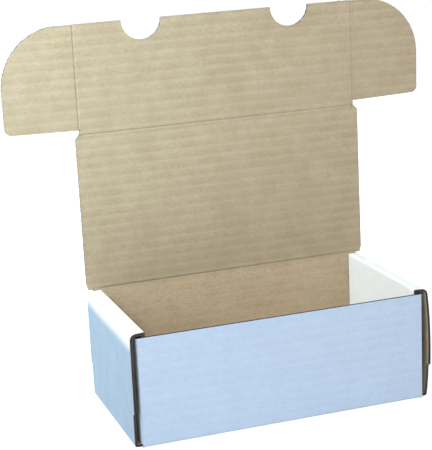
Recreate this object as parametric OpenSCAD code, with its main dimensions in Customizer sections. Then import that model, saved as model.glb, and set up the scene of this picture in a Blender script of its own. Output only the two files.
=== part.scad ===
// Roll-end postcard storage box with an attached lid, folded from one die-cut
// sheet of corrugated board that is white outside and bare kraft inside.
// X runs along the box, Y from the front wall to the back wall and Z up.
// The origin is the middle of the underside. The lid stands open, as at rest.

/* [Board] */
// Thickness of the corrugated board
board = 2.8; // [1.6:0.1:3.6]
// Outer radius where the board folds at a right angle
fold_radius = 2.2; // [1.7:0.1:3]
// Running gap at a moving crease
crease_gap = 0.3; // [0.2:0.05:0.6]
// Gap round the cut edges of panels that are tucked inside
cut_gap = 0.4; // [0.3:0.05:0.8]

/* [Tray] */
// Length over both rolled ends
box_length = 318; // [260:1:420]
// Depth over the front and back walls
box_depth = 165; // [150:1:240]
// Height of the lid's hinge crease above the underside
hinge_height = 117; // [100:1:160]
// How far the front wall stops below the hinge crease
front_drop = 4; // [3.5:0.1:12]
// Length of the flaps folded back from the front and back walls
corner_flap = 70; // [30:1:72]

/* [Rolled ends] */
// Extra height of the rolled ends at the front of the box
roll_rise = 3.5; // [0:0.1:4]
// Fall of the roll's top from its inner edge to its outer edge
roll_fall = 0.5; // [0:0.1:1]
// Radius of the roll's soft outer edge
roll_radius = 6.5; // [3.7:0.1:8]
// Radius of the roll's inner edge
roll_inner_radius = 1.8; // [0.8:0.1:3]
// Free space between a corner flap and the inner end panel
roll_slack = 3.4; // [1:0.1:8]
// Height of the step in the front and back edges of the end panels
end_step_height = 35; // [20:1:60]
// How far an end panel is cut back below its step
end_step = 4; // [1:0.5:12]
// How much farther in than its roll an inner end panel is cut
panel_setback = 0.5; // [0.2:0.1:2]
// Width of each locking tab under an inner end panel
tab_width = 30; // [15:1:45]
// Distance between the centres of an end's two locking tabs
tab_spacing = 80; // [60:1:90]

/* [Lid] */
// Lean of the open lid behind the vertical, in degrees
lid_lean = 1.1; // [0:0.1:12]
// Height of the cut corners of the lid
lid_corner = 5.5; // [2:0.5:12]
// Width of the cut corners at the lid's hinge
hinge_corner = 2; // [0.5:0.5:6]

/* [Tuck flap] */
// Forward bend of the tuck flap against the open lid, in degrees
tuck_bend = 1.5; // [0:0.1:12]
// Gap between the closed tuck flap and the front wall
tuck_gap = 0.5; // [0.4:0.1:2]
// Height of the closed tuck flap's free edge above the underside
tuck_foot = 5.5; // [2:0.5:20]
// Radius of the half-round thumb notches
thumb_radius = 21.3; // [8:0.1:30]
// Distance between the centres of the thumb notches
thumb_spacing = 164; // [80:1:200]
// Cut corners of the tuck flap beside the lid
tuck_corner = 1.6; // [0.5:0.1:3]

/* [Ears] */
// Length of an ear from its crease
ear_length = 77.5; // [70:0.5:80]
// Radius of the large curve at the ear's free corner
ear_radius = 62; // [50:0.5:70]
// How far that curve, carried on, would rise above the ear's straight edge
ear_crown = 0.5; // [0.3:0.1:3]
// Small radius at the ear's corner beside the lid
ear_corner = 7; // [2:0.5:15]
// How far the ear stops short of the tuck flap's free edge
ear_trim = 0.5; // [0.2:0.1:8]
// Gap on each side of an ear in its slot
ear_gap = 0.6; // [0.4:0.1:2]

/* [Die-cut nicks] */
// Width of the small stubs left where the sheet was held in its frame
nick_width = 1.6; // [0.8:0.1:3]
// Height of the stubs
nick_height = 0.5; // [0.3:0.1:1]
// Distance of the left stub from the tuck flap's left edge
nick_left = 25.5; // [5:0.5:45]
// Place of the middle stub, from the middle of the tuck flap
nick_middle = -12; // [-40:1:40]
// Distance of the right stub from the tuck flap's right edge
nick_right = 12.5; // [5:0.5:45]
// Distance of the stub on the left ear from the ear's crease
ear_nick_place = 19; // [4:1:20]

/* [Hidden] */
$fn = 48;
white = [0.88, 0.92, 0.97];
kraft = [0.77, 0.71, 0.56];

half_board = board / 2;
half_length = box_length / 2;
front_y = -box_depth / 2;
back_y = box_depth / 2;
// An ear slides between an end panel and the edge of the front wall.
ear_slot = board + 2 * ear_gap;
half_wall = half_length - board - ear_slot;
// Inner face of the inner end panel
inner_x = half_wall - 2 * board - roll_slack;
front_height = hinge_height - front_drop;
back_height = hinge_height - half_board - crease_gap;
// The crest of a rolled end runs from the back wall's top edge up to the front.
roll_back = back_height;
roll_tilt = atan(roll_rise / box_depth);
// Length of the parts of the roll that run down into the two end panels
roll_leg = 18;
// The two panels of an end reach this high, inside the legs of the roll.
panel_top = roll_back - roll_leg / 2;
// Underside of the roll at its back end
roll_underside = roll_back - roll_fall - board;
// A fold's inner radius where the outer radius leaves the board crushed
crushed_radius = 1.2;
// Amount by which cutting shapes reach past what they cut
past = 1;

hinge_y = back_y - half_board;
// The closed tuck flap hangs just in front of the front wall.
closed_crease_y = front_y - tuck_gap - half_board;
lid_length = (hinge_y - closed_crease_y) / cos(roll_tilt);
closed_crease_z = hinge_height + lid_length * sin(roll_tilt);
tuck_length = closed_crease_z - tuck_foot;
// A moving panel turns in the edge of the panel that carries it.
socket = half_board + crease_gap;
ear_x = half_wall + ear_slot / 2;
// Side edge of the tuck flap, beside the ear's crease
tuck_edge = ear_x - socket;
nick_places = [nick_left - tuck_edge, nick_middle, tuck_edge - nick_right];
// The folded ear passes under the roll, so its edge starts below the roll's board.
ear_shoulder = socket + roll_fall + board + ear_gap;
// The edge then falls a little faster than the roll does.
ear_slope = ear_length * tan(roll_tilt) + crease_gap;
ear_top = tuck_length - ear_trim;

// Points along a circular arc
function arc(centre, radius, from, to, steps = 10) =
    [for (i = [0:steps])
        let (angle = from + (to - from) * i / steps)
        centre + radius * [cos(angle), sin(angle)]];

// Extrudes a section drawn in Y and Z along the box, centred.
module along_length(half) {
    rotate([90, 0, 90]) linear_extrude(2 * half, center = true) children();
}

// Extrudes a section drawn in X and Z from one depth to another.
module along_depth(from, to) {
    translate([0, to, 0]) rotate([90, 0, 0]) linear_extrude(to - from) children();
}

// Extrudes a panel's outline, drawn in X and Z, to the board's thickness.
module panel() {
    rotate([90, 0, 0]) linear_extrude(board, center = true) children();
}

// Copies a right-hand shape to both ends of the box.
module both_ends() {
    children();
    mirror([1, 0, 0]) children();
}

// Section through the front wall, the bottom and the back wall
module walls_section() {
    polygon(concat(
        [[front_y, front_height]],
        arc([front_y + fold_radius, fold_radius], fold_radius, 180, 270),
        arc([back_y - fold_radius, fold_radius], fold_radius, 270, 360),
        [[back_y, back_height], [back_y - board, back_height]],
        [[back_y - board, board], [front_y + board, board]],
        [[front_y + board, front_height]]
    ));
}

// Plan of a wall with its two corner flaps folded back, for a wall at the front
module corner_flap_plan() {
    inside = half_wall - board;
    flap_y = front_y + corner_flap;
    polygon(concat(
        [[-half_wall, flap_y]],
        arc([-half_wall + fold_radius, front_y + fold_radius], fold_radius, 180, 270),
        arc([half_wall - fold_radius, front_y + fold_radius], fold_radius, 270, 360),
        [[half_wall, flap_y], [inside, flap_y], [inside, front_y + board]],
        [[-inside, front_y + board], [-inside, flap_y]]
    ));
}

module corner_flaps(top) {
    bottom = board + cut_gap;
    translate([0, 0, bottom]) linear_extrude(top - bottom) corner_flap_plan();
}

// Section through the outer end panel and its fold into the bottom
module end_panel_section() {
    polygon(concat(
        [[half_wall - board, 0]],
        arc([half_length - fold_radius, fold_radius], fold_radius, 270, 360),
        [[half_length, panel_top], [half_length - board, panel_top]],
        [[half_length - board, board], [half_wall - board, board]]
    ));
}

module end_panel() {
    cut_x = half_wall - cut_gap;
    difference() {
        along_depth(front_y, back_y) end_panel_section();
        for (side = [0, 1])
            mirror([0, side, 0])
                translate([cut_x, front_y - past, -past])
                    cube([half_length - cut_x + past, end_step + past, end_step_height + past]);
    }
}

// Section through the roll, with its crest at zero height
module roll_section() {
    outer = half_length - roll_radius;
    inner = half_length - board - crushed_radius;
    underside = -roll_fall - board;
    polygon(concat(
        [[half_length, -roll_leg]],
        arc([outer, -roll_fall - roll_radius], roll_radius, 0, 90),
        arc([inner_x + roll_inner_radius, -roll_inner_radius], roll_inner_radius, 90, 180),
        [[inner_x, -roll_leg], [inner_x + board, -roll_leg], [inner_x + board, underside]],
        arc([inner, underside - crushed_radius], crushed_radius, 90, 0),
        [[half_length - board, -roll_leg]]
    ));
}

// The rolled top of an end rises towards the front.
module roll() {
    low = roll_back - 2 * roll_leg;
    inset = board + cut_gap;
    difference() {
        intersection() {
            translate([0, back_y, roll_back])
                rotate([-roll_tilt, 0, 0])
                    along_depth(-box_depth - roll_leg, roll_leg) roll_section();
            translate([inner_x - past, front_y, low])
                cube([half_length, box_depth - cut_gap, hinge_height]);
        }
        // The inner leg stands behind the front wall, and the roll passes over that wall.
        translate([inner_x - past, front_y - past, low])
            cube([half_wall - inner_x, inset + past, front_height + cut_gap - low]);
        // The roll stops at the inner face of the back wall.
        translate([inner_x - past, back_y - inset, low])
            cube([half_wall + cut_gap - inner_x + past, inset + past, hinge_height]);
    }
}

// The inner end panel with its locking tabs
module inner_end_panel() {
    inset = board + cut_gap;
    setback = inset + panel_setback;
    translate([inner_x, front_y + setback, inset])
        cube([board, box_depth - 2 * setback, panel_top - inset]);
    for (side = [-1, 1])
        translate([inner_x, side * tab_spacing / 2 - tab_width / 2, cut_gap])
            cube([board, tab_width, inset]);
}

module tab_slots() {
    for (side = [-1, 1])
        translate([
            inner_x - cut_gap,
            side * tab_spacing / 2 - tab_width / 2 - cut_gap,
            -past
        ])
            cube([board + 2 * cut_gap, tab_width + 2 * cut_gap, board + 2 * past]);
}

// Bottom, walls, corner flaps and rolled ends, all one folded sheet
module tray() {
    color(white) {
        difference() {
            union() {
                along_length(half_wall - cut_gap) walls_section();
                corner_flaps(front_height - cut_gap);
                mirror([0, 1, 0]) corner_flaps(roll_underside - cut_gap);
                both_ends() end_panel();
            }
            both_ends() tab_slots();
        }
        both_ends() {
            roll();
            inner_end_panel();
        }
    }
}

// Lip on the white side of a panel's edge, in front of the crease it carries
module lip_section(crease) {
    difference() {
        translate([0, crease - board]) square([half_board, board]);
        translate([0, crease]) circle(r = socket);
    }
}

// Places its children on the open lid, with Z along the lid from the hinge.
module on_lid() {
    translate([0, hinge_y, hinge_height]) rotate([-lid_lean, 0, 0]) children();
}

// Places its children on the tuck flap, with Z along the flap from its crease.
module on_tuck() {
    on_lid() translate([0, 0, lid_length]) rotate([tuck_bend, 0, 0]) children();
}

module lid_outline() {
    edge = lid_length - socket;
    polygon([
        [half_length - hinge_corner, 0], [half_length, lid_corner],
        [half_length, edge - lid_corner], [ear_x, edge],
        [-ear_x, edge], [-half_length, edge - lid_corner],
        [-half_length, lid_corner], [hinge_corner - half_length, 0]
    ]);
}

module lid() {
    color(kraft) on_lid() {
        panel() lid_outline();
        rotate([0, 90, 0]) cylinder(h = 2 * half_wall, r = half_board, center = true);
        along_length(tuck_edge) lip_section(lid_length);
    }
}

module tuck_outline() {
    difference() {
        polygon([
            [tuck_edge - tuck_corner, 0], [tuck_edge, tuck_corner], [tuck_edge, tuck_length],
            [-tuck_edge, tuck_length], [-tuck_edge, tuck_corner], [tuck_corner - tuck_edge, 0]
        ]);
        for (side = [-1, 1])
            translate([side * thumb_spacing / 2, tuck_length]) circle(r = thumb_radius, $fn = 96);
    }
}

module nick(place, edge) {
    translate([place - nick_width / 2, edge - past])
        square([nick_width, past + nick_height]);
}

// Lip beside an ear's crease, drawn for the right-hand ear
module ear_lip() {
    bottom = ear_shoulder + ear_slope;
    translate([0, 0, bottom])
        linear_extrude(ear_top - bottom - crease_gap)
            difference() {
                translate([ear_x - board, 0]) square([board, half_board]);
                translate([ear_x, 0]) circle(r = socket);
            }
}

module tuck_flap() {
    bead = tuck_edge - tuck_corner;
    color(kraft) on_tuck() {
        panel() {
            tuck_outline();
            for (place = nick_places) nick(place, tuck_length);
        }
        rotate([0, 90, 0]) cylinder(h = 2 * bead, r = half_board, center = true);
        both_ends() ear_lip();
    }
}

// Outline of an ear, with its crease at zero
module ear_outline() {
    low = ear_shoulder + ear_slope;
    crown_z = ear_top - ear_radius + ear_crown;
    polygon(concat(
        [[0, ear_shoulder]],
        arc([ear_length - ear_corner, low + ear_corner], ear_corner, 270, 360),
        arc([ear_length - ear_radius, crown_z], ear_radius, 0, asin(1 - ear_crown / ear_radius), 24),
        [[0, ear_top]]
    ));
}

// The right-hand ear on the tuck flap
module ear() {
    on_tuck() translate([ear_x, 0, 0]) {
        panel() {
            ear_outline();
            children();
        }
        translate([0, 0, ear_shoulder])
            cylinder(h = ear_top - ear_shoulder, r = half_board);
    }
}

module ear_left() {
    color(kraft) mirror([1, 0, 0]) ear() nick(ear_nick_place, ear_top);
}

module ear_right() {
    color(kraft) ear();
}

tray();
lid();
tuck_flap();
ear_left();
ear_right();
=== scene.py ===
# Looks of the postcard storage box, which stands open on a pale floor.
# Its board is corrugated: a white paper outside, a bare kraft paper inside and a
# wavy paper between the two. Lengths are in metres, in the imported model's frame.
import math

import bmesh
import bpy
from mathutils import Matrix, Vector

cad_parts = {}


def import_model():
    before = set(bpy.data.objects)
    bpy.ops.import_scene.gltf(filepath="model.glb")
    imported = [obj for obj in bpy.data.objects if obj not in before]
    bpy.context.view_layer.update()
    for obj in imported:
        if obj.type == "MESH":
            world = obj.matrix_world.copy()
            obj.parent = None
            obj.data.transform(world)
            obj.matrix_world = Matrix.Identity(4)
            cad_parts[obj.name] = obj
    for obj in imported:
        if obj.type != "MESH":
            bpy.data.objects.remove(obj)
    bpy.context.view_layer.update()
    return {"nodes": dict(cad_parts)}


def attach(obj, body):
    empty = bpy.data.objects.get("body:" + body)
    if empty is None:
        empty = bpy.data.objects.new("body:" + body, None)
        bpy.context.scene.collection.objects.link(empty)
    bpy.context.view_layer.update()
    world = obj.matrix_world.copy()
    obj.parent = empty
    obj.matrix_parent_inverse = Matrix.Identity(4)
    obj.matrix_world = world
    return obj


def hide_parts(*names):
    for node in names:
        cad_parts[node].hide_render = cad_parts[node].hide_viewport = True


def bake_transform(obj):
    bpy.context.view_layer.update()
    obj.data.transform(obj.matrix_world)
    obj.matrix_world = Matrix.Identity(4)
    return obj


MM = 0.001

# Board
BOARD = 2.8 * MM
HALF_BOARD = BOARD / 2
PAPER = 0.3 * MM
FLUTE_PITCH = 5.3 * MM
# Every second flute shows more strongly through the flat paper.
BAND_PITCH = 2 * FLUTE_PITCH
FLUTE_PAPER = 0.22 * MM
FLUTE_STEPS = 12
# The knife presses the papers together along a cut edge.
PRESSED_RIM = 0.6 * MM
PRESSED_DEPTH = 0.22 * MM

# Box
HALF_LENGTH = 159 * MM
HALF_WALL = 152.2 * MM
FRONT_Y = -82.5 * MM
HINGE_Y = 81.1 * MM
HINGE_Z = 117 * MM
FRONT_HEIGHT = 113 * MM
INNER_END_X = 143.2 * MM
CUT_GAP = 0.4 * MM

# Lid, tuck flap and ears
LID_LEAN = math.radians(1.1)
LID_LENGTH = 165.537 * MM
LID_CORNER = 5.5 * MM
HINGE_CORNER = 2 * MM
# Beside the hinge the lid's lower edge hangs a little below the hinge line.
CORNER_DROP = 0.8 * MM
# The lid's upper corners reach past the crease, beside the tuck flap.
CORNER_REACH = 1.4 * MM
CORNER_GAP = 0.3 * MM
TUCK_BEND = math.radians(1.5)
TUCK_LENGTH = 115.011 * MM
THUMB_RADIUS = 21.3 * MM
THUMB_X = 82 * MM
EAR_X = 154.2 * MM
EAR_LENGTH = 77.5 * MM
EAR_RADIUS = 62 * MM
EAR_CROWN = 0.5 * MM
EAR_CORNER = 7 * MM
EAR_SHOULDER = 5.6 * MM
EAR_LOW = 7.54 * MM
EAR_TOP = 114.511 * MM
NICK_WIDTH = 1.6 * MM
NICK_HEIGHT = 0.5 * MM
TUCK_NICKS = (-127 * MM, -12 * MM, 140 * MM)
EAR_NICK = 19 * MM

# A crease is a pressed groove this far to each side of its fold line.
CREASE_HALF = 1.7 * MM
KRAFT_GROOVE = 0.5 * MM
WHITE_GROOVE = 0.2 * MM
CREASE_STEPS = 10
# The strip at the lid's hinge ends this far inside the ends of the walls.
STRIP_INSET = 0.5 * MM

# The right-hand outer end panel bulges. A power under 1 makes the bulge full near its ends.
BULGE = 3 * MM
BULGE_FROM = 2.5 * MM
BULGE_TO = 110 * MM
BULGE_POWER = 0.7
BULGE_BANDS = 20

# Cut edges of the tray
EDGE_RIM = 0.45 * MM
EDGE_WALL = 0.03 * MM
EDGE_DEPTH = 1.1 * MM

# A face turned less than this from an axis is flat, and any other is part of a fold.
FLAT_COSINE = 0.9995
# Flat triangles turned less than this from each other are joined.
JOIN_ANGLE = math.radians(0.5)
MERGE = 0.001 * MM
# How near a plane counts as on it, and how far before it counts as beyond it.
ON_PLANE = 0.05 * MM
BEFORE_PLANE = 0.1 * MM
# The rolled ends and the folds beside them are above this height.
ROLL_FROM = 100 * MM

KRAFT, WHITE, FLUTING_PAINTED_SHADE, END_PAINTED_LIGHT_AND_SHADE, CUT_EDGE_PAINTED_SHADE = range(5)

# How strongly fibres and specks tint a paper, and how strongly a painted highlight lightens its ridges
KRAFT_FIBRES = 0.36
KRAFT_PAINTED_RIDGE_HIGHLIGHT = 0.18
KRAFT_SPECKS = 0.35
WHITE_FIBRES = 0.30
WHITE_PAINTED_RIDGE_HIGHLIGHT = 0.13
END_FIBRES = 0.08
EDGE_FIBRES = 0.4

# The outer end panels are painted bluer, as painted shade, up to one height and painted white, as
# painted light, from another.
END_PAINTED_SHADE_TO = 96 * MM
END_PAINTED_LIGHT_FROM = 113 * MM
END_OUTSIDE_FROM = 150 * MM
END_OUTSIDE_TO = 158 * MM

# Camera
PICTURE_HEIGHT = 450
FOCAL_PIXELS = 1471.66
CAMERA_PLACE = (-0.50056, -1.37533, 0.58300)
CAMERA_AZIMUTH = -0.324174
CAMERA_ELEVATION = 0.263400
CAMERA_ROLL = -0.046983

# Light of the room, and the floor, which glows to the camera so that it looks white
ROOM_LIGHT = 0.5
BACKGROUND = 1.0
FLOOR_GREY = 0.86
FLOOR_GLOW = 0.58
FLOOR_RADIUS = 12
FLOOR_DROP = 0.2 * MM
WIDE_SPREAD = 180
NARROW_SPREAD = 50


def srgb(red, green, painted_shade_blue):
    """A colour given as it looks on a screen, from 0 to 255."""
    def linear(value):
        value /= 255
        return value / 12.92 if value <= 0.04045 else ((value + 0.055) / 1.055) ** 2.4
    return (linear(red), linear(green), linear(painted_shade_blue), 1)


class Shader:
    """Adds nodes to a node tree and links them."""

    def __init__(self, tree):
        self.tree = tree

    def add(self, kind, inputs=(), **settings):
        node = self.tree.nodes.new(kind)
        for name, value in settings.items():
            setattr(node, name, value)
        for key, value in dict(inputs).items():
            if isinstance(value, bpy.types.NodeSocket):
                self.tree.links.new(value, node.inputs[key])
            else:
                node.inputs[key].default_value = value
        return node

    def math(self, operation, first, second=0.0):
        return self.add("ShaderNodeMath", {0: first, 1: second}, operation=operation).outputs[0]

    def mix(self, share, first, second):
        node = self.add("ShaderNodeMix", {0: share, 6: first, 7: second}, data_type="RGBA")
        return node.outputs[2]

    def span(self, value, low, high, to_low=0.0, to_high=1.0):
        node = self.add("ShaderNodeMapRange", {
            "Value": value, "From Min": low, "From Max": high,
            "To Min": to_low, "To Max": to_high,
        }, interpolation_type="SMOOTHSTEP")
        return node.outputs[0]

    def noise(self, vector, scale, detail=2.0, roughness=0.5):
        node = self.add("ShaderNodeTexNoise", {
            "Vector": vector, "Scale": scale, "Detail": detail, "Roughness": roughness,
        })
        return node.outputs[0]


def new_group(name, inputs, outputs):
    """An empty node group whose outputs are values"""
    tree = bpy.data.node_groups.new(name, "ShaderNodeTree")
    for label, kind in inputs:
        tree.interface.new_socket(name=label, in_out="INPUT", socket_type=kind)
    for label in outputs:
        tree.interface.new_socket(name=label, in_out="OUTPUT", socket_type="NodeSocketFloat")
    shader = Shader(tree)
    return shader, shader.add("NodeGroupInput").outputs, shader.add("NodeGroupOutput").inputs


def paper_grain_group():
    """Cloudy patches, fibres along X, small specks and the height of them all."""
    shader, given, made = new_group(
        "paper grain", [("Vector", "NodeSocketVector")], ["Clouds", "Fibres", "Specks", "Height"]
    )
    tree = shader.tree
    clouds = shader.noise(given["Vector"], 55, 3, 0.6)
    stretch = shader.add("ShaderNodeMapping", {"Vector": given["Vector"], "Scale": (0.22, 1, 1)})
    fibres = shader.noise(stretch.outputs[0], 1100, 3, 0.65)
    specks = shader.noise(given["Vector"], 700, 1, 0.5)
    speck_mask = shader.span(specks, 0.66, 0.74)
    height = shader.math("ADD", shader.math("MULTIPLY", clouds, 0.35), fibres)
    tree.links.new(clouds, made["Clouds"])
    tree.links.new(fibres, made["Fibres"])
    tree.links.new(speck_mask, made["Specks"])
    tree.links.new(height, made["Height"])
    return tree


def washboard_group():
    """The faint ridges that the wavy paper shows through a flat paper."""
    shader, given, made = new_group(
        "washboard",
        [("Vector", "NodeSocketVector"), ("Distance", "NodeSocketFloat")],
        ["Ridge"],
    )
    drift = shader.math("MULTIPLY", shader.noise(given["Vector"], 7, 1), 2.2)
    waves = []
    for pitch, share in ((BAND_PITCH, 0.68), (FLUTE_PITCH, 0.32)):
        turns = shader.math("MULTIPLY", given["Distance"], 2 * math.pi / pitch)
        wave = shader.math("COSINE", shader.math("ADD", turns, drift))
        waves.append(shader.math("MULTIPLY", wave, share))
    strength = shader.span(shader.noise(given["Vector"], 14, 1), 0.3, 0.7, 0.4, 1.0)
    both = shader.math("ADD", waves[0], waves[1])
    shader.tree.links.new(shader.math("MULTIPLY", both, strength), made["Ridge"])
    return shader.tree


def new_material(name):
    """A material with an empty node tree"""
    material = bpy.data.materials.new(name)
    material.use_nodes = True
    material.node_tree.nodes.clear()
    return material, Shader(material.node_tree)


def place_on_board(shader, groups, over_wall=True):
    """Object coordinates, grain and ridges. The flutes run along X in the flat sheet,
    so the ridges follow each other up a wall and from front to back on an end panel."""
    place = shader.add("ShaderNodeTexCoord").outputs["Object"]
    axes = shader.add("ShaderNodeSeparateXYZ", {0: place}).outputs
    distance = shader.math("ADD", axes["Y"], axes["Z"]) if over_wall else axes["Y"]
    grain = shader.add("ShaderNodeGroup", node_tree=groups["grain"])
    ridges = shader.add("ShaderNodeGroup", node_tree=groups["washboard"])
    shader.tree.links.new(place, grain.inputs["Vector"])
    shader.tree.links.new(place, ridges.inputs["Vector"])
    shader.tree.links.new(distance, ridges.inputs["Distance"])
    return axes, grain.outputs, ridges.outputs["Ridge"]


def cloudy(shader, grain, dark, light, low=0.3, high=0.7):
    """A paper's colour, between a darker and a lighter one in cloudy patches"""
    return shader.mix(shader.span(grain["Clouds"], low, high), dark, light)


def finish_paper(shader, colour, height, roughness, specular, bump):
    """The paper's surface, with a relief of this height in metres"""
    relief = shader.add("ShaderNodeBump", {"Strength": 1.0, "Distance": bump, "Height": height})
    surface = shader.add("ShaderNodeBsdfPrincipled", {
        "Base Color": colour,
        "Roughness": roughness,
        "Specular IOR Level": specular,
        "Normal": relief.outputs[0],
    })
    shader.add("ShaderNodeOutputMaterial", {"Surface": surface.outputs[0]})


def kraft_paper(groups, name, dark, light):
    """Bare kraft paper of the inside, between a darker and a lighter colour"""
    material, shader = new_material(name)
    axes, grain, ridge = place_on_board(shader, groups)
    colour = cloudy(shader, grain, dark, light, 0.2, 0.8)
    fibres = shader.span(grain["Fibres"], 0.35, 0.7, 0, KRAFT_FIBRES)
    colour = shader.mix(fibres, colour, srgb(134, 119, 92))
    # Painted highlight: the ridges are painted lighter where light would catch them.
    colour = shader.mix(shader.span(ridge, -1, 1, 0, KRAFT_PAINTED_RIDGE_HIGHLIGHT), colour, srgb(206, 195, 170))
    specks = shader.math("MULTIPLY", grain["Specks"], KRAFT_SPECKS)
    colour = shader.mix(specks, colour, srgb(128, 108, 78))
    height = shader.math("ADD", shader.math("MULTIPLY", ridge, 0.5), grain["Height"])
    finish_paper(shader, colour, height, 0.82, 0.25, 0.05 * MM)
    return material


def white_paper_painted_shade(groups):
    """White paper of the walls, the bottom and the back of the lid, painted a cool blue-grey as painted
    shade
    """
    material, shader = new_material("white_paper_painted_shade")
    axes, grain, ridge = place_on_board(shader, groups)
    # Painted shade: the white paper's colours are the blue-grey of white paper in cool shade.
    colour = cloudy(shader, grain, srgb(190, 210, 235), srgb(195, 215, 239))
    fibres = shader.span(grain["Fibres"], 0.38, 0.7, 0, WHITE_FIBRES)
    colour = shader.mix(fibres, colour, srgb(166, 185, 209))
    # Painted highlight: the ridges are painted lighter where light would catch them.
    colour = shader.mix(shader.span(ridge, -1, 1, 0, WHITE_PAINTED_RIDGE_HIGHLIGHT), colour, srgb(225, 236, 250))
    height = shader.math("ADD", shader.math("MULTIPLY", ridge, 0.5), grain["Height"])
    finish_paper(shader, colour, height, 0.6, 0.35, 0.03 * MM)
    return material


def end_paper_painted_light_and_shade(groups):
    """White paper of the rolled ends, painted brighter than the walls' white paper as painted light, and
    painted bluer low down on the outer panels as painted shade
    """
    material, shader = new_material("end_paper_painted_light_and_shade")
    axes, grain, ridge = place_on_board(shader, groups, over_wall=False)
    side = shader.math("ABSOLUTE", axes["X"])
    # Painted light and shade: the end paper is painted bluer low on the outer panels and brighter above,
    # where light falls.
    outside = shader.span(side, END_OUTSIDE_FROM, END_OUTSIDE_TO)
    low = shader.span(axes["Z"], END_PAINTED_SHADE_TO, END_PAINTED_LIGHT_FROM, 1.0, 0.0)
    painted_light_white = cloudy(shader, grain, srgb(243, 248, 252), srgb(249, 252, 255))
    painted_shade_blue = cloudy(shader, grain, srgb(143, 168, 190), srgb(151, 175, 196))
    colour = shader.mix(shader.math("MULTIPLY", outside, low), painted_light_white, painted_shade_blue)
    fibres = shader.span(grain["Fibres"], 0.4, 0.75, 0, END_FIBRES)
    colour = shader.mix(fibres, colour, srgb(190, 200, 212))
    height = shader.math("ADD", shader.math("MULTIPLY", ridge, 0.4), grain["Height"])
    finish_paper(shader, colour, height, 0.6, 0.35, 0.03 * MM)
    return material


def edge_paper(groups, name, dark, light, fibre, roughness, bump):
    """Raw paper at a cut edge, between two colours and with fibres of a third"""
    material, shader = new_material(name)
    axes, grain, ridge = place_on_board(shader, groups)
    colour = cloudy(shader, grain, dark, light)
    fibres = shader.span(grain["Fibres"], 0.35, 0.7, 0, EDGE_FIBRES)
    finish_paper(shader, shader.mix(fibres, colour, fibre), grain["Height"], roughness, 0.2, bump)
    return material


def fluting_painted_shade(groups):
    """The wavy paper, seen in the cut edges, its own brown darkened by painted shade"""
    # Painted shade: the wavy paper is painted a dark grey-brown for the shade in the cut edges.
    return edge_paper(
        groups, "fluting_painted_shade", srgb(84, 76, 68), srgb(104, 95, 85), srgb(62, 54, 46), 0.9, 0.04 * MM
    )


def cut_edge_painted_shade(groups):
    """Edge of the flat papers where the knife went through, painted a dark grey as painted shade"""
    # Painted shade: the cut edges are painted dark grey for the shade along them.
    return edge_paper(
        groups, "cut_edge_painted_shade", srgb(84, 79, 84), srgb(104, 98, 102), srgb(64, 58, 60), 0.85, 0.05 * MM
    )


def arc(centre_x, centre_z, radius, start, stop, steps):
    """Points in X and Z along an arc, with angles in degrees."""
    points = []
    for step in range(steps + 1):
        angle = math.radians(start + (stop - start) * step / steps)
        points.append((centre_x + radius * math.cos(angle), centre_z + radius * math.sin(angle)))
    return points


def nick(place, edge):
    """A stub left where the sheet was held in its frame, on an edge that runs towards -X."""
    half = NICK_WIDTH / 2
    return [
        (place + half, edge), (place + half, edge + NICK_HEIGHT),
        (place - half, edge + NICK_HEIGHT), (place - half, edge),
    ]


def lid_outline():
    """Outline of the lid, whose corners stand beside the strips at its two creases"""
    top = LID_LENGTH - CREASE_HALF
    tip = LID_LENGTH + CORNER_REACH
    notch = EAR_X - CREASE_HALF + CORNER_GAP
    right = [
        (HALF_WALL, CREASE_HALF), (HALF_WALL, -CORNER_DROP),
        (HALF_LENGTH - HINGE_CORNER, -CORNER_DROP), (HALF_LENGTH, LID_CORNER),
        (HALF_LENGTH, tip - LID_CORNER), (EAR_X, tip), (notch, tip), (notch, top),
    ]
    return right + [(-x, z) for x, z in reversed(right)]


def tuck_outline():
    """Outline of the tuck flap, which is a little wider below the ears"""
    edge = EAR_X - CREASE_HALF
    foot = EAR_SHOULDER - CORNER_GAP
    right_notch = arc(THUMB_X, TUCK_LENGTH, THUMB_RADIUS, 0, -180, 48)
    left_notch = arc(-THUMB_X, TUCK_LENGTH, THUMB_RADIUS, 0, -180, 48)
    left_nick, middle_nick, right_nick = (nick(place, TUCK_LENGTH) for place in TUCK_NICKS)
    return (
        [(-EAR_X, CREASE_HALF), (EAR_X, CREASE_HALF), (EAR_X, foot), (edge, foot), (edge, TUCK_LENGTH)]
        + right_nick + right_notch + middle_nick + left_notch + left_nick
        + [(-edge, TUCK_LENGTH), (-edge, foot), (-EAR_X, foot)]
    )


def ear_outline(with_nick):
    """Outline of the right-hand ear, from its crease at X = 0"""
    slope = (EAR_LOW - EAR_SHOULDER) / (EAR_LENGTH - EAR_CORNER)
    points = [(CREASE_HALF, EAR_SHOULDER + slope * CREASE_HALF)]
    points += arc(EAR_LENGTH - EAR_CORNER, EAR_LOW + EAR_CORNER, EAR_CORNER, 270, 360, 10)
    crown = math.degrees(math.asin(1 - EAR_CROWN / EAR_RADIUS))
    middle = EAR_TOP + EAR_CROWN - EAR_RADIUS
    points += arc(EAR_LENGTH - EAR_RADIUS, middle, EAR_RADIUS, 0, crown, 32)
    if with_nick:
        points += nick(EAR_NICK, EAR_TOP)
    return points + [(CREASE_HALF, EAR_TOP)]


def flat_face(bm, outline, level):
    """A face in X and Z at a depth, seen from the side that the depth lies on"""
    face = bm.faces.new([bm.verts.new((x, level, z)) for x, z in outline])
    face.normal_update()
    if face.normal.y * level < 0:
        face.normal_flip()
    return face


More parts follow.
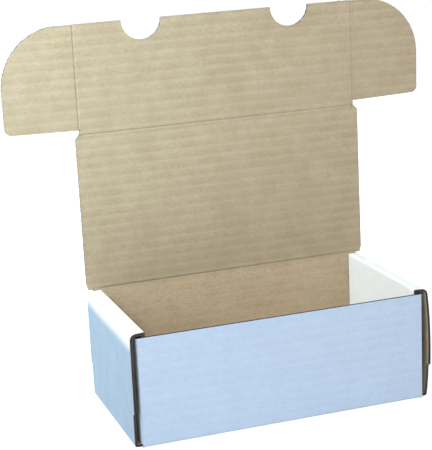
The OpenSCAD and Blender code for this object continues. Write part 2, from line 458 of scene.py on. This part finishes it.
def flat_paper(bm, outline, side, finish):
    """One flat paper of a panel, pressed down along its rim, with a cut edge round it"""
    face = flat_face(bm, outline, side * (HALF_BOARD - PRESSED_DEPTH))
    face.material_index = finish
    ring = bmesh.ops.inset_region(bm, faces=[face], thickness=PRESSED_RIM, use_even_offset=True)
    for vertex in face.verts:
        vertex.co.y = side * HALF_BOARD
    bmesh.ops.solidify(bm, geom=ring["faces"] + [face], thickness=PAPER)
    bm.normal_update()
    for part in bm.faces:
        if part.material_index == finish and abs(part.normal.y) < 0.5:
            part.material_index = CUT_EDGE_PAINTED_SHADE


def flutes(outline):
    """Mesh of the wavy paper inside a panel, cut to the panel's outline"""
    low = min(z for x, z in outline)
    high = max(z for x, z in outline)
    left = min(x for x, z in outline)
    right = max(x for x, z in outline)
    wave = HALF_BOARD - PAPER - FLUTE_PAPER / 2
    rows = math.ceil((high - low) / FLUTE_PITCH * FLUTE_STEPS)
    place = (
        Matrix.Translation(((left + right) / 2, 0, (low + high) / 2))
        @ Matrix.Rotation(math.pi / 2, 4, "X")
        @ Matrix.Diagonal((right - left, high - low, 1, 1))
    )
    bm = bmesh.new()
    bmesh.ops.create_grid(bm, x_segments=1, y_segments=rows, size=0.5, matrix=place)
    for vertex in bm.verts:
        middle = wave * math.sin(2 * math.pi * vertex.co.z / FLUTE_PITCH)
        vertex.co.y = middle - FLUTE_PAPER / 2
    bmesh.ops.solidify(bm, geom=bm.faces[:], thickness=FLUTE_PAPER)
    sheet = new_piece("flute_sheet", bm, [])
    bm = bmesh.new()
    reach = HALF_BOARD - PAPER * 0.5
    front = flat_face(bm, outline, -reach)
    grown = bmesh.ops.extrude_face_region(bm, geom=[front])
    moved = [part for part in grown["geom"] if isinstance(part, bmesh.types.BMVert)]
    bmesh.ops.translate(bm, verts=moved, vec=(0, 2 * reach, 0))
    bmesh.ops.recalc_face_normals(bm, faces=bm.faces)
    knife = new_piece("flute_knife", bm, [])
    cut = sheet.modifiers.new("cut", "BOOLEAN")
    cut.operation = "INTERSECT"
    cut.solver = "EXACT"
    cut.object = knife
    view = bpy.context.evaluated_depsgraph_get()
    mesh = bpy.data.meshes.new_from_object(sheet.evaluated_get(view))
    bpy.data.objects.remove(sheet)
    bpy.data.objects.remove(knife)
    return mesh


def new_piece(name, bm, materials):
    """An object in the scene with this mesh"""
    mesh = bpy.data.meshes.new(name)
    bm.to_mesh(mesh)
    bm.free()
    for material in materials:
        mesh.materials.append(material)
    piece = bpy.data.objects.new(name, mesh)
    bpy.context.scene.collection.objects.link(piece)
    return piece


def soften(bm, sharp_from=30):
    """Smooth shading, with a sharp edge where faces meet at more than an angle."""
    for face in bm.faces:
        face.smooth = True
    for edge in bm.edges:
        if len(edge.link_faces) != 2 or edge.calc_face_angle(0) > math.radians(sharp_from):
            edge.smooth = False


def board_panel(name, outline, place, materials):
    """A panel of corrugated board, from its outline in X and Z"""
    bm = bmesh.new()
    bm.from_mesh(flutes(outline))
    for face in bm.faces:
        face.material_index = FLUTING_PAINTED_SHADE
    flat_paper(bm, outline, -1, KRAFT)
    flat_paper(bm, outline, 1, WHITE)
    bmesh.ops.transform(bm, verts=bm.verts, matrix=place)
    soften(bm)
    piece = new_piece(name, bm, materials)
    piece.modifiers.new("even shading", "WEIGHTED_NORMAL").keep_sharp = True
    return piece


def crease_strip(name, half_width, place, materials):
    """The pressed strip of board at a fold that moves, drawn along X"""
    rim = HALF_BOARD - PRESSED_DEPTH
    section = []
    for side, groove in ((-1, KRAFT_GROOVE), (1, WHITE_GROOVE)):
        for step in range(CREASE_STEPS + 1):
            across = side * CREASE_HALF * (1 - 2 * step / CREASE_STEPS)
            sink = groove * (1 + math.cos(math.pi * across / CREASE_HALF)) / 2
            section.append((side * (rim - sink), across))
    bm = bmesh.new()
    end = bm.faces.new([bm.verts.new((-half_width, y, z)) for y, z in section])
    grown = bmesh.ops.extrude_face_region(bm, geom=[end])
    moved = [part for part in grown["geom"] if isinstance(part, bmesh.types.BMVert)]
    bmesh.ops.translate(bm, verts=moved, vec=(2 * half_width, 0, 0))
    bmesh.ops.recalc_face_normals(bm, faces=bm.faces)
    for face in bm.faces:
        is_side = abs(face.normal.x) < 0.5 and abs(face.normal.z) < 0.9
        face.material_index = (KRAFT if face.normal.y < 0 else WHITE) if is_side else FLUTING_PAINTED_SHADE
    bmesh.ops.transform(bm, verts=bm.verts, matrix=place)
    soften(bm, 50)
    return new_piece(name, bm, materials)


def near(value, target):
    return abs(value - target) < ON_PLANE


def tray_finish(face):
    """Which paper, or which cut edge, a face of the tray shows"""
    centre = face.calc_center_median()
    normal = face.normal
    side = abs(centre.x)
    on_end = side > INNER_END_X - BEFORE_PLANE
    if max(map(abs, normal)) < FLAT_COSINE:
        inside_fold = normal.z < 0 and on_end and centre.z > ROLL_FROM
        if inside_fold:
            return KRAFT
        return END_PAINTED_LIGHT_AND_SHADE if on_end and (centre.z > ROLL_FROM or side > HALF_WALL) else WHITE
    if abs(normal.x) > FLAT_COSINE:
        inward = normal.x * centre.x < 0
        if near(side, HALF_LENGTH) or (near(side, INNER_END_X) and inward):
            return END_PAINTED_LIGHT_AND_SHADE
        if near(side, HALF_WALL) and not inward:
            return WHITE
        if inward and (near(side, HALF_LENGTH - BOARD) or near(side, HALF_WALL - BOARD)):
            return KRAFT
        if near(side, INNER_END_X + BOARD) and not inward:
            return KRAFT
        return CUT_EDGE_PAINTED_SHADE
    if abs(normal.y) > FLAT_COSINE:
        inward = normal.y * centre.y < 0
        if near(abs(centre.y), -FRONT_Y) and side < INNER_END_X:
            return WHITE
        return KRAFT if inward and near(abs(centre.y), -FRONT_Y - BOARD) else CUT_EDGE_PAINTED_SHADE
    if near(centre.z, 0):
        return WHITE
    if centre.z > ROLL_FROM and on_end and normal.z > 0 and centre.z > FRONT_HEIGHT + CUT_GAP:
        return END_PAINTED_LIGHT_AND_SHADE
    on_floor = near(centre.z, BOARD) and normal.z > 0
    under_roll = centre.z > ROLL_FROM and normal.z < 0
    return KRAFT if on_floor or under_roll else CUT_EDGE_PAINTED_SHADE


def is_open_edge(face):
    """Whether a cut edge of the tray shows its flutes: the ends of the rolled ends
    and of their panels, and the tops of the front and back walls"""
    if face.material_index != CUT_EDGE_PAINTED_SHADE:
        return False
    centre = face.calc_center_median()
    end = abs(face.normal.y) > 0.9 and abs(centre.x) > INNER_END_X - BEFORE_PLANE
    top = face.normal.z > 0.9 and abs(centre.x) < INNER_END_X and centre.z > ROLL_FROM
    return end or top


def add_bulge(bm):
    """Cuts the right-hand outer end panel into bands and moves them outwards"""
    for band in range(1, BULGE_BANDS):
        height = BULGE_FROM + (BULGE_TO - BULGE_FROM) * band / BULGE_BANDS
        faces = [face for face in bm.faces if face.calc_center_median().x > HALF_WALL + MM]
        edges = {edge for face in faces for edge in face.edges}
        verts = {vertex for face in faces for vertex in face.verts}
        bmesh.ops.bisect_plane(
            bm, geom=faces + list(edges) + list(verts), dist=MERGE,
            plane_co=(0, 0, height), plane_no=(0, 0, 1),
        )
    for vertex in bm.verts:
        on_panel = vertex.co.x > HALF_LENGTH - BOARD - BEFORE_PLANE
        if on_panel and BULGE_FROM < vertex.co.z < BULGE_TO:
            share = (vertex.co.z - BULGE_FROM) / (BULGE_TO - BULGE_FROM)
            vertex.co.x += BULGE * math.sin(math.pi * share) ** BULGE_POWER


def tray_board(node, materials):
    """The tray's solid as folded board, with its cut edges opened and one end bulging"""
    bm = bmesh.new()
    bm.from_mesh(node.data)
    bmesh.ops.remove_doubles(bm, verts=bm.verts, dist=MERGE)
    bmesh.ops.dissolve_limit(bm, angle_limit=JOIN_ANGLE, verts=bm.verts, edges=bm.edges)
    for face in bm.faces:
        face.normal_update()
        face.material_index = tray_finish(face)
    add_bulge(bm)
    edges = [face for face in bm.faces if is_open_edge(face)]
    bmesh.ops.inset_region(bm, faces=edges, thickness=EDGE_RIM, use_even_offset=False)
    bmesh.ops.inset_region(
        bm, faces=edges, thickness=EDGE_WALL, depth=-EDGE_DEPTH, use_even_offset=False
    )
    for face in edges:
        face.material_index = FLUTING_PAINTED_SHADE
    soften(bm)
    piece = new_piece("tray_board", bm, materials)
    piece.modifiers.new("even shading", "WEIGHTED_NORMAL").keep_sharp = True
    return piece


def aimed(place, target):
    """Matrix of a lamp at a place that shines on a target"""
    direction = Vector(target) - Vector(place)
    return Matrix.Translation(place) @ direction.to_track_quat("-Z", "Y").to_matrix().to_4x4()


def softbox(name, place, target, size, power, colour=(1, 1, 1), spread=WIDE_SPREAD):
    """A soft lamp at a place, aimed at a target, whose light spreads over an angle in degrees"""
    light = bpy.data.lights.new(name, "AREA")
    light.spread = math.radians(spread)
    light.shape = "SQUARE"
    light.color = colour
    light.size = size
    light.energy = power
    lamp = bpy.data.objects.new(name, light)
    lamp.matrix_world = aimed(place, target)
    lamp.visible_camera = False
    bpy.context.scene.collection.objects.link(lamp)


def seen_directly(shader):
    """1 for what the camera sees, also in a reflection or through glass"""
    rays = shader.add("ShaderNodeLightPath").outputs
    straight = shader.math("MAXIMUM", rays["Is Camera Ray"], rays["Is Glossy Ray"])
    return shader.math("MAXIMUM", straight, rays["Is Transmission Ray"])


def add_lamps():
    """Soft light from the upper left, with less from the front, the top and the right"""
    softbox("key", place=(-0.85, -0.5, 0.85), target=(0, 0, 0.2), size=0.8, power=4.2)
    softbox(
        "cool", place=(-0.62, -0.42, 0.72), target=(-0.22, 0.09, 0.39), size=0.3, power=0.70,
        colour=(0.78, 1.0, 1.0), spread=NARROW_SPREAD,
    )
    softbox(
        "right", place=(0.5, -0.48, 0.72), target=(0.2, 0.09, 0.41), size=0.3, power=0.13,
        spread=NARROW_SPREAD,
    )
    softbox(
        "left", place=(-4.0, -0.2, 2.4), target=(0.143, 0, 0.09), size=1.6, power=58,
        colour=(0.84, 0.93, 1.0),
    )
    softbox("fill", place=(0.9, -2.0, 0.9), target=(0, 0, 0.15), size=1.6, power=6.4)
    softbox("top", place=(-0.3, -0.1, 1.9), target=(0, 0, 0.1), size=1.4, power=9)


def add_world():
    """A plain room, seen as white"""
    world = bpy.data.worlds.new("studio")
    bpy.context.scene.world = world
    world.use_nodes = True
    world.node_tree.nodes.clear()
    shader = Shader(world.node_tree)
    white = (1, 1, 1, 1)
    room = shader.add("ShaderNodeBackground", {"Color": white, "Strength": ROOM_LIGHT})
    behind = shader.add("ShaderNodeBackground", {"Color": white, "Strength": BACKGROUND})
    both = shader.add("ShaderNodeMixShader", {
        0: seen_directly(shader), 1: room.outputs[0], 2: behind.outputs[0],
    })
    shader.add("ShaderNodeOutputWorld", {"Surface": both.outputs[0]})


def add_floor():
    """A pale floor that keeps the box's shadow"""
    bm = bmesh.new()
    bmesh.ops.create_circle(bm, cap_ends=True, segments=64, radius=FLOOR_RADIUS)
    bmesh.ops.translate(bm, verts=bm.verts, vec=(0, 0, -FLOOR_DROP))
    material, shader = new_material("floor")
    grey = (FLOOR_GREY, FLOOR_GREY, FLOOR_GREY, 1)
    surface = shader.add("ShaderNodeBsdfDiffuse", {"Color": grey})
    glow = shader.add("ShaderNodeEmission", {"Color": (1, 1, 1, 1), "Strength": FLOOR_GLOW})
    dark = shader.add("ShaderNodeEmission", {"Strength": 0.0})
    lift = shader.add("ShaderNodeMixShader", {
        0: seen_directly(shader), 1: dark.outputs[0], 2: glow.outputs[0],
    })
    both = shader.add("ShaderNodeAddShader", {0: surface.outputs[0], 1: lift.outputs[0]})
    shader.add("ShaderNodeOutputMaterial", {"Surface": both.outputs[0]})
    floor = new_piece("floor", bm, [material])


def add_camera():
    """The camera that took the photo, found from the edges of the box"""
    lens = bpy.data.cameras.new("camera")
    lens.sensor_fit = "VERTICAL"
    lens.sensor_height = 36
    lens.lens = FOCAL_PIXELS * lens.sensor_height / PICTURE_HEIGHT
    lens.clip_end = 60
    camera = bpy.data.objects.new("camera", lens)
    camera.matrix_world = (
        Matrix.Translation(CAMERA_PLACE)
        @ Matrix.Rotation(CAMERA_AZIMUTH, 4, "Z")
        @ Matrix.Rotation(math.pi / 2 - CAMERA_ELEVATION, 4, "X")
        @ Matrix.Rotation(CAMERA_ROLL, 4, "Z")
    )
    bpy.context.scene.collection.objects.link(camera)
    bpy.context.scene.camera = camera


def mirrored(outline):
    return [(-x, z) for x, z in outline]


def add_tray(node, papers):
    """The folded tray in place of its solid"""
    tray = tray_board(node, papers)
    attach(tray, "tray")
    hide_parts("tray")


def add_panels(on_lid, on_tuck, papers):
    """The four moving panels in place of their solids"""
    panels = (
        ("lid_board", "lid", lid_outline(), on_lid),
        ("tuck_flap_board", "tuck_flap", tuck_outline(), on_tuck),
        ("ear_left_board", "ear_left", mirrored(ear_outline(True)),
         on_tuck @ Matrix.Translation((-EAR_X, 0, 0))),
        ("ear_right_board", "ear_right", ear_outline(False),
         on_tuck @ Matrix.Translation((EAR_X, 0, 0))),
    )
    for name, body, outline, place in panels:
        panel = board_panel(name, outline, place, papers)
        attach(panel, body)
        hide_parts(body)


def add_creases(on_lid, on_tuck, papers):
    """The pressed strips between the moving panels, placed where they lie at rest"""
    # Along an ear's crease the strip stands up, so it is turned about Y.
    ear_half = (EAR_TOP - EAR_SHOULDER) / 2
    ear_middle = (EAR_TOP + EAR_SHOULDER) / 2
    upright = Matrix.Rotation(math.pi / 2, 4, "Y")
    hinge_half = HALF_WALL - STRIP_INSET
    tuck_half = EAR_X - CREASE_HALF
    back_wall = Matrix.Translation((0, HINGE_Y, HINGE_Z))
    creases = (
        ("lid_crease", "tray", "lid", hinge_half, back_wall, (0, 0, CREASE_HALF)),
        ("tuck_crease_strip", "lid", "tuck_flap", tuck_half,
         on_lid @ Matrix.Translation((0, 0, LID_LENGTH)), (0, 0, CREASE_HALF)),
        ("ear_left_crease_strip", "tuck_flap", "ear_left", ear_half,
         on_tuck @ Matrix.Translation((-EAR_X, 0, ear_middle)) @ upright, (0, 0, -CREASE_HALF)),
        ("ear_right_crease_strip", "tuck_flap", "ear_right", ear_half,
         on_tuck @ Matrix.Translation((EAR_X, 0, ear_middle)) @ upright, (0, 0, CREASE_HALF)),
    )
    for name, first, second, half_width, place, reach in creases:
        strip = crease_strip(name, half_width, place, papers)
        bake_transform(strip)


def main():
    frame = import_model()
    bpy.context.scene.view_settings.view_transform = "Standard"

    groups = {"grain": paper_grain_group(), "washboard": washboard_group()}
    shared = [
        white_paper_painted_shade(groups), fluting_painted_shade(groups), end_paper_painted_light_and_shade(groups), cut_edge_painted_shade(groups),
    ]
    kraft = kraft_paper(groups, "kraft_paper", srgb(166, 150, 125), srgb(178, 163, 139))
    # Painted light: the tray's kraft is painted lighter than the panels' kraft, standing in for light
    # inside the tray.
    tray_kraft_painted_lighter = kraft_paper(groups, "tray_kraft_paper_painted_lighter", srgb(188, 166, 138), srgb(200, 180, 154))

    on_lid = Matrix.Translation((0, HINGE_Y, HINGE_Z)) @ Matrix.Rotation(-LID_LEAN, 4, "X")
    on_tuck = on_lid @ Matrix.Translation((0, 0, LID_LENGTH)) @ Matrix.Rotation(TUCK_BEND, 4, "X")
    add_tray(frame["nodes"]["tray"], [tray_kraft_painted_lighter] + shared)
    add_panels(on_lid, on_tuck, [kraft] + shared)
    add_creases(on_lid, on_tuck, [kraft] + shared)

    add_world()
    add_floor()
    add_lamps()
    add_camera()


main()
